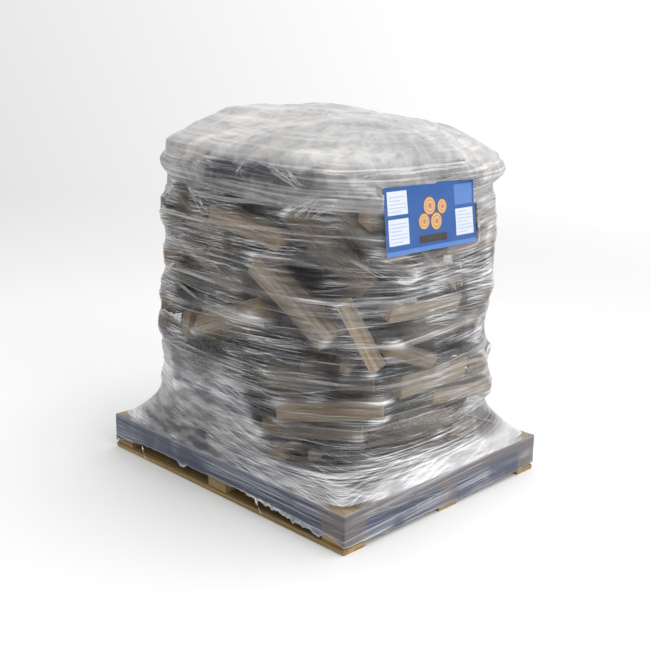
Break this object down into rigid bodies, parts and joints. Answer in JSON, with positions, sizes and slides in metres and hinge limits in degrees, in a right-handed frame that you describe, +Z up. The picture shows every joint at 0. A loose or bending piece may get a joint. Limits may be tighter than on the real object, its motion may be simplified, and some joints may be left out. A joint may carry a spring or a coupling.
{
  "type": "pallet of firewood",
  "caption": "Wooden block pallet of loose split logs, wound in clear stretch film under a milky top sheet, with a blank printed label.",
  "frame": {"origin": "centre of the pallet's footprint, on the ground", "axes": "+Z up; X along the pallet's long side of 1200 mm; -Y is the long side that the picture shows"},
  "size_m": [1.2169, 1.0206, 1.2796],
  "materials": {
    "pallet_softwood": "rough sawn",
    "split_hardwood": "split, with bark",
    "split_hardwood_inner": "split, with bark",
    "printed_label": "satin print",
    "milky_cover_film": "crumpled translucent film",
    "clear_stretch_film": "clear, streaked by stretching"
  },
  "bodies": {
    "root": {"back_centre_block": "pallet_softwood", "back_left_block": "pallet_softwood", "back_right_block": "pallet_softwood", "back_runner": "pallet_softwood", "base_corner_log": "split_hardwood", "broad_upper_log": "split_hardwood", "centre_cross_board": "pallet_softwood", "crooked_upper_log": "split_hardwood", "deck_board_1": "pallet_softwood", "deck_board_2": "pallet_softwood", "deck_board_3": "pallet_softwood", "deck_board_4": "pallet_softwood", "deck_board_5": "pallet_softwood", "deck_board_6": "pallet_softwood", "deck_board_7": "pallet_softwood", "far_right_log": "split_hardwood", "film_skirt": "clear_stretch_film", "front_centre_block": "pallet_softwood", "front_left_block": "pallet_softwood", "front_level_log": "split_hardwood", "front_right_block": "pallet_softwood", "front_runner": "pallet_softwood", "hanging_wedge_log": "split_hardwood", "label_back_log": "split_hardwood", "label_far_log": "split_hardwood", "label_lower_log": "split_hardwood", "label_sheet": "printed_label", "leaning_brown_log": "split_hardwood", "left_cross_board": "pallet_softwood", "left_edge_log": "split_hardwood", "left_foot_log": "split_hardwood", "left_long_log": "split_hardwood", "left_low_log": "split_hardwood", "left_pale_log": "split_hardwood", "left_rim_log": "split_hardwood", "left_tip_log": "split_hardwood", "left_upper_log": "split_hardwood", "log_heap": "split_hardwood_inner", "low_corner_log": "split_hardwood", "low_wedge_log": "split_hardwood", "lower_front_log": "split_hardwood", "middle_centre_block": "pallet_softwood", "middle_left_block": "pallet_softwood", "middle_right_block": "pallet_softwood", "middle_runner": "pallet_softwood", "pale_plank_log": "split_hardwood", "pointed_front_log": "split_hardwood", "pointed_right_log": "split_hardwood", "right_broad_log": "split_hardwood", "right_cross_board": "pallet_softwood", "right_long_log": "split_hardwood", "right_low_log": "split_hardwood", "right_pale_log": "split_hardwood", "right_short_log": "split_hardwood", "right_tip_log": "split_hardwood", "short_branch_log": "split_hardwood", "slanting_front_log": "split_hardwood", "stretch_film": "clear_stretch_film", "top_round_log": "split_hardwood", "top_sheet": "milky_cover_film"}
  },
  "joints": []
}
